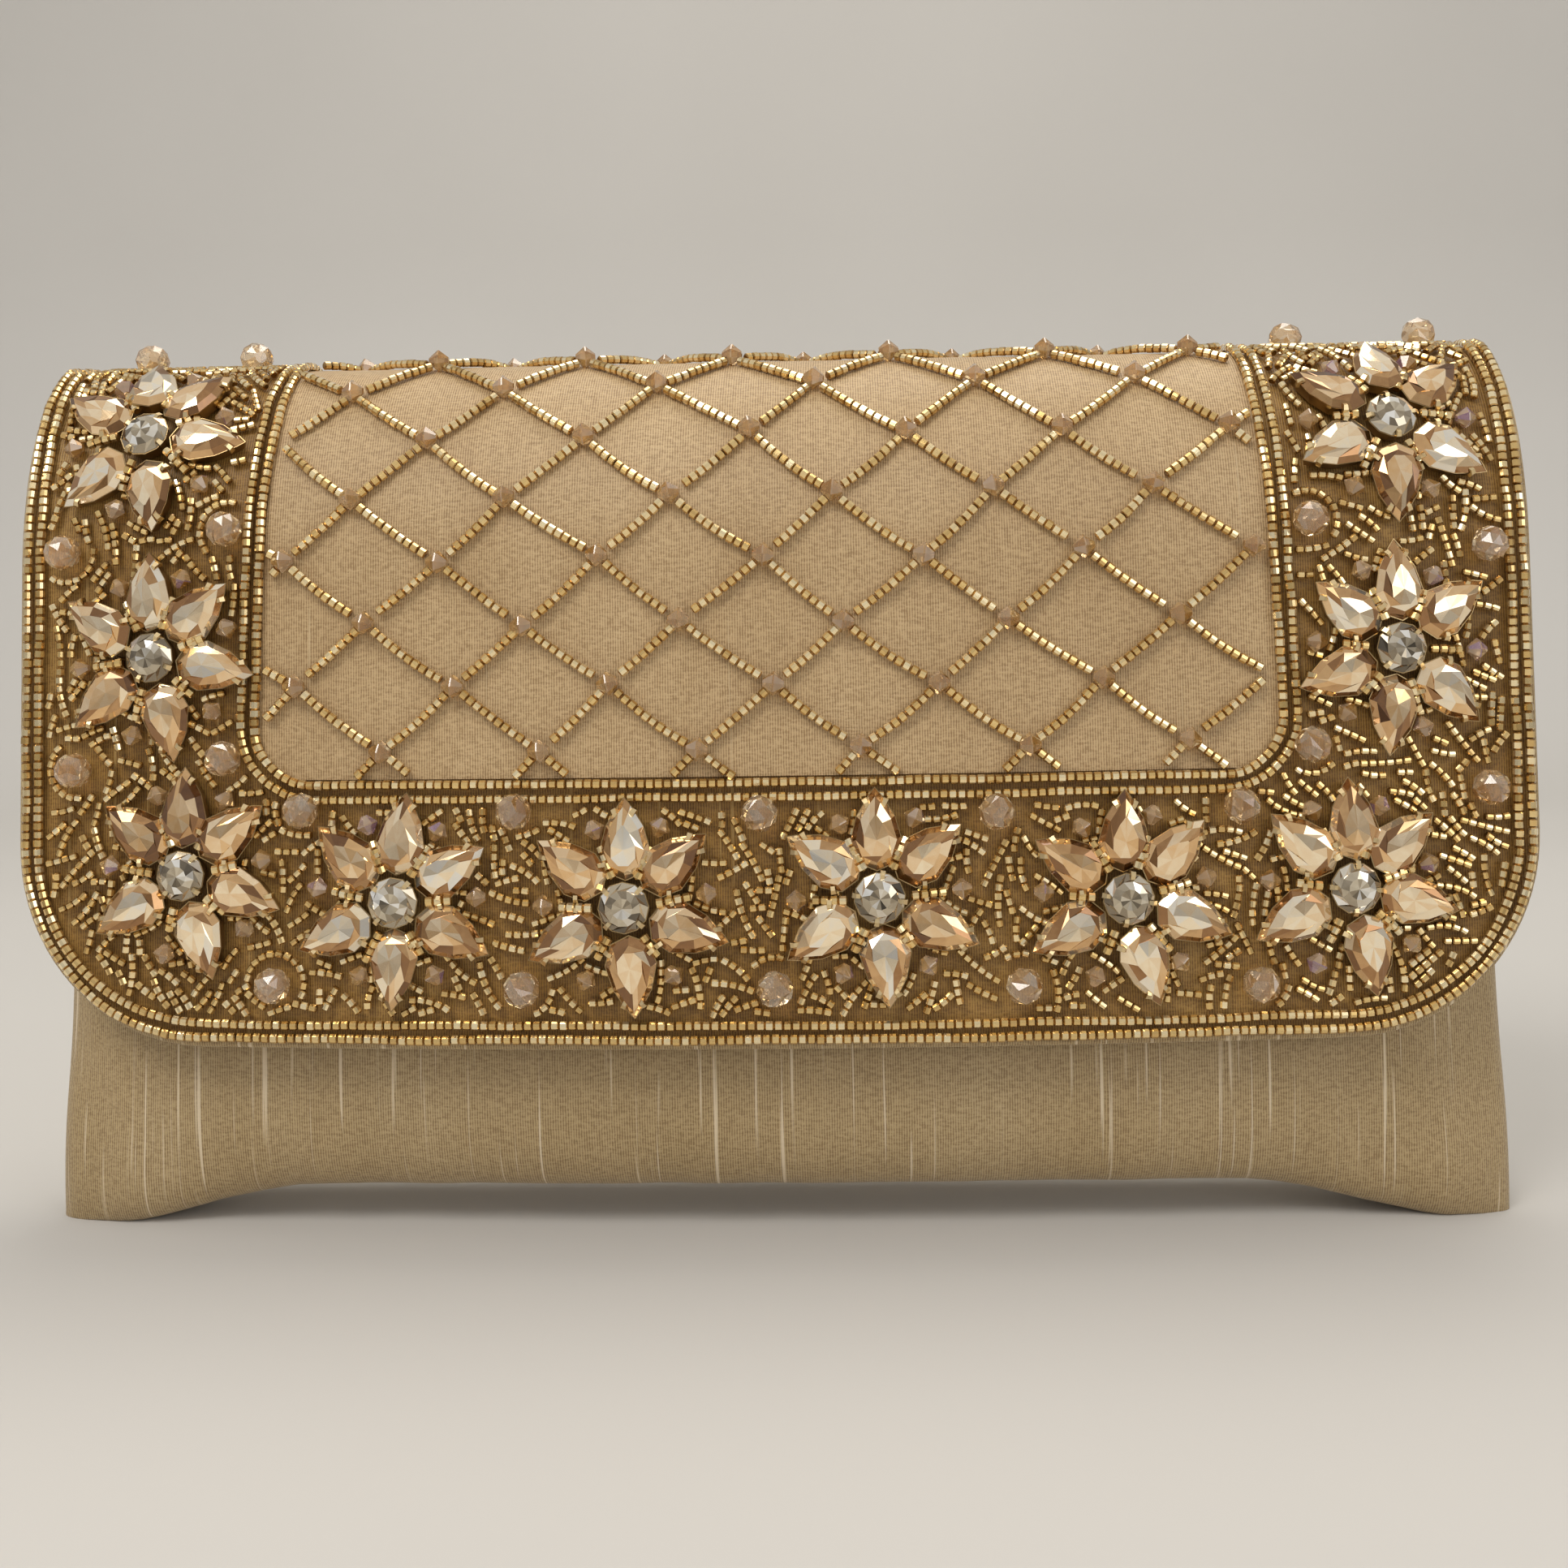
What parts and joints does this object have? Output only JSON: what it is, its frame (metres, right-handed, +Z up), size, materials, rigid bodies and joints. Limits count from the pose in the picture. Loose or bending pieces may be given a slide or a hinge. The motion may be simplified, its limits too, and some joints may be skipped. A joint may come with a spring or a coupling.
{
  "type": "evening bag",
  "caption": "Padded silk evening clutch with a hinged fold-over flap edged in bead rows, stone flowers and a beaded net window.",
  "frame": {"origin": "middle of the bag's width and depth, at the height of the two lower corners it rests on", "axes": "+X to the right seen from the front, +Y towards the back, +Z up"},
  "size_m": [0.251, 0.0516, 0.1522],
  "materials": {
    "champagne_silk": "slubbed raw silk, champagne gold",
    "flap_silk": "dark golden-brown silk ground under the beading",
    "lining_silk": "smooth satin lining",
    "wadding": "soft polyester wadding",
    "stiffener_card": "fibre board stiffener",
    "gold_piping": "narrow metallic gold piping",
    "gold_bead_glass": "silver-lined gold seed beads",
    "champagne_crystal": "foiled champagne pear stones in claw settings",
    "clear_crystal": "smoky faceted glass",
    "plated_steel": "pale gold plated steel"
  },
  "bodies": {
    "pouch": {"front_panel": "champagne_silk", "front_padding": "wadding", "front_board": "stiffener_card", "front_lining": "lining_silk", "back_panel": "champagne_silk", "back_padding": "wadding", "back_board": "stiffener_card", "back_lining": "lining_silk", "slip_pocket": "lining_silk", "mouth_facing": "champagne_silk", "snap_magnet": "plated_steel"},
    "flap": {"flap_ground": "flap_silk", "flap_padding": "wadding", "flap_board": "stiffener_card", "flap_lining": "lining_silk", "edge_piping": "gold_piping", "edge_bead_row_outer": "gold_bead_glass", "edge_bead_row_inner": "gold_bead_glass", "window_bead_row_outer": "gold_bead_glass", "window_bead_row_inner": "gold_bead_glass", "snap_plate": "plated_steel", "net_strand_1": "gold_bead_glass", "net_strand_2": "gold_bead_glass", "net_strand_3": "gold_bead_glass", "net_strand_4": "gold_bead_glass", "net_strand_5": "gold_bead_glass", "net_strand_6": "gold_bead_glass", "net_strand_7": "gold_bead_glass", "net_strand_8": "gold_bead_glass", "flower_01_petals": "champagne_crystal", "flower_01_centre": "clear_crystal", "flower_02_petals": "champagne_crystal", "flower_02_centre": "clear_crystal", "flower_03_petals": "champagne_crystal", "flower_03_centre": "clear_crystal", "flower_04_petals": "champagne_crystal", "flower_04_centre": "clear_crystal", "flower_05_petals": "champagne_crystal", "flower_05_centre": "clear_crystal", "flower_06_petals": "champagne_crystal", "flower_06_centre": "clear_crystal", "flower_07_petals": "champagne_crystal", "flower_07_centre": "clear_crystal", "flower_08_petals": "champagne_crystal", "flower_08_centre": "clear_crystal", "flower_09_petals": "champagne_crystal", "flower_09_centre": "clear_crystal", "flower_10_petals": "champagne_crystal", "flower_10_centre": "clear_crystal", "top_crystal_1": "clear_crystal", "top_crystal_2": "clear_crystal", "top_crystal_3": "clear_crystal", "top_crystal_4": "clear_crystal"}
  },
  "joints": [
    {"name": "flap_hinge", "type": "hinge", "parent": "pouch", "child": "flap", "pos_m": [0, 0.0255, 0.12], "axis": [-1, 0, 0], "range_deg": [0, 150]}
  ]
}
